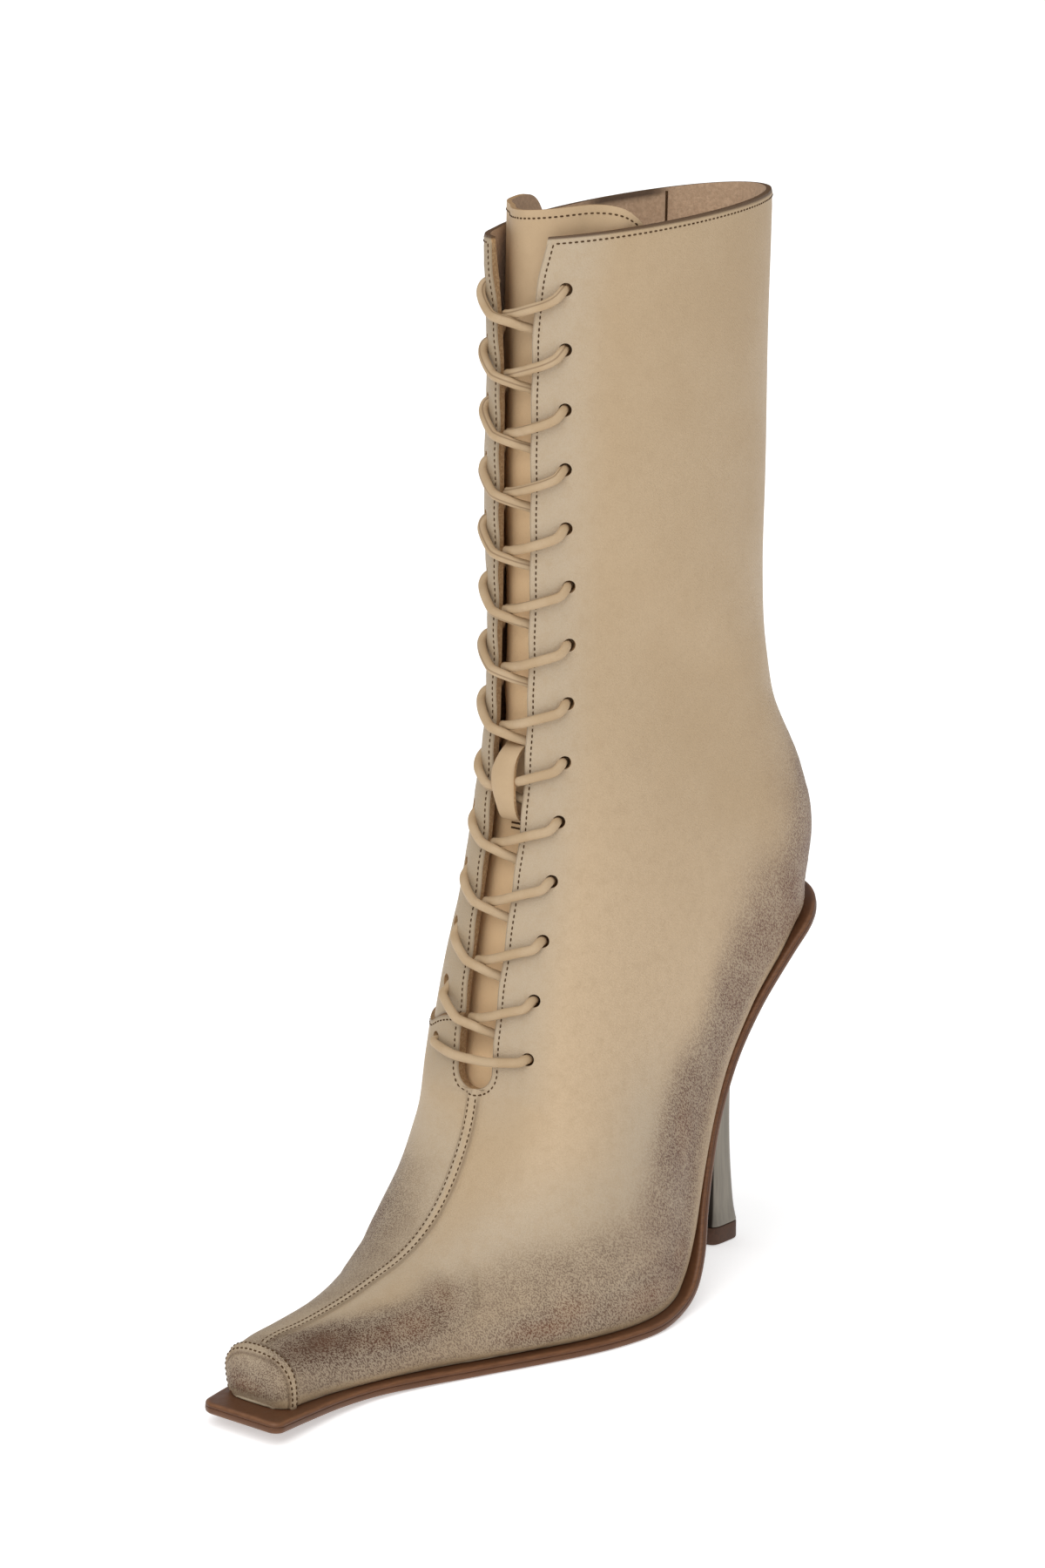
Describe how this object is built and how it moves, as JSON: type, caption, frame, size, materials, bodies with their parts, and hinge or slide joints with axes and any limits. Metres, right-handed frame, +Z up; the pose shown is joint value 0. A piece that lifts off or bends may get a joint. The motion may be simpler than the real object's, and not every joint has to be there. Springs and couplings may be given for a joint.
{
  "type": "heeled lace-up boot",
  "caption": "Tall lace-up leather boot for the left foot, with a long snipped toe, a thin ledge sole, a wide tongue and a slim high metal heel.",
  "frame": {"origin": "middle of the boot's footprint, on the floor", "axes": "+Z up, -Y towards the toe, +X towards the outer side of the foot"},
  "size_m": [0.083, 0.2672, 0.3506],
  "materials": {
    "leather": "satin beige leather, browner at toe and heel",
    "sole": "dark brown burnished leather",
    "lining": "matt suede",
    "heel": "satin grey-green metal",
    "lift": "matt brown",
    "lace": "round tan leather cord"
  },
  "bodies": {
    "root": {"upper": "leather", "tongue": "leather", "tongue_loop": "leather", "outsole": "sole", "insole": "lining", "heel": "heel", "top_lift": "lift", "lace_bar": "lace", "lace_cross_01": "lace", "lace_cross_02": "lace", "lace_cross_03": "lace", "lace_cross_04": "lace", "lace_cross_05": "lace", "lace_cross_06": "lace", "lace_cross_07": "lace", "lace_cross_08": "lace", "lace_cross_09": "lace", "lace_cross_10": "lace", "lace_cross_11": "lace", "lace_cross_12": "lace", "lace_cross_13": "lace"}
  },
  "joints": []
}
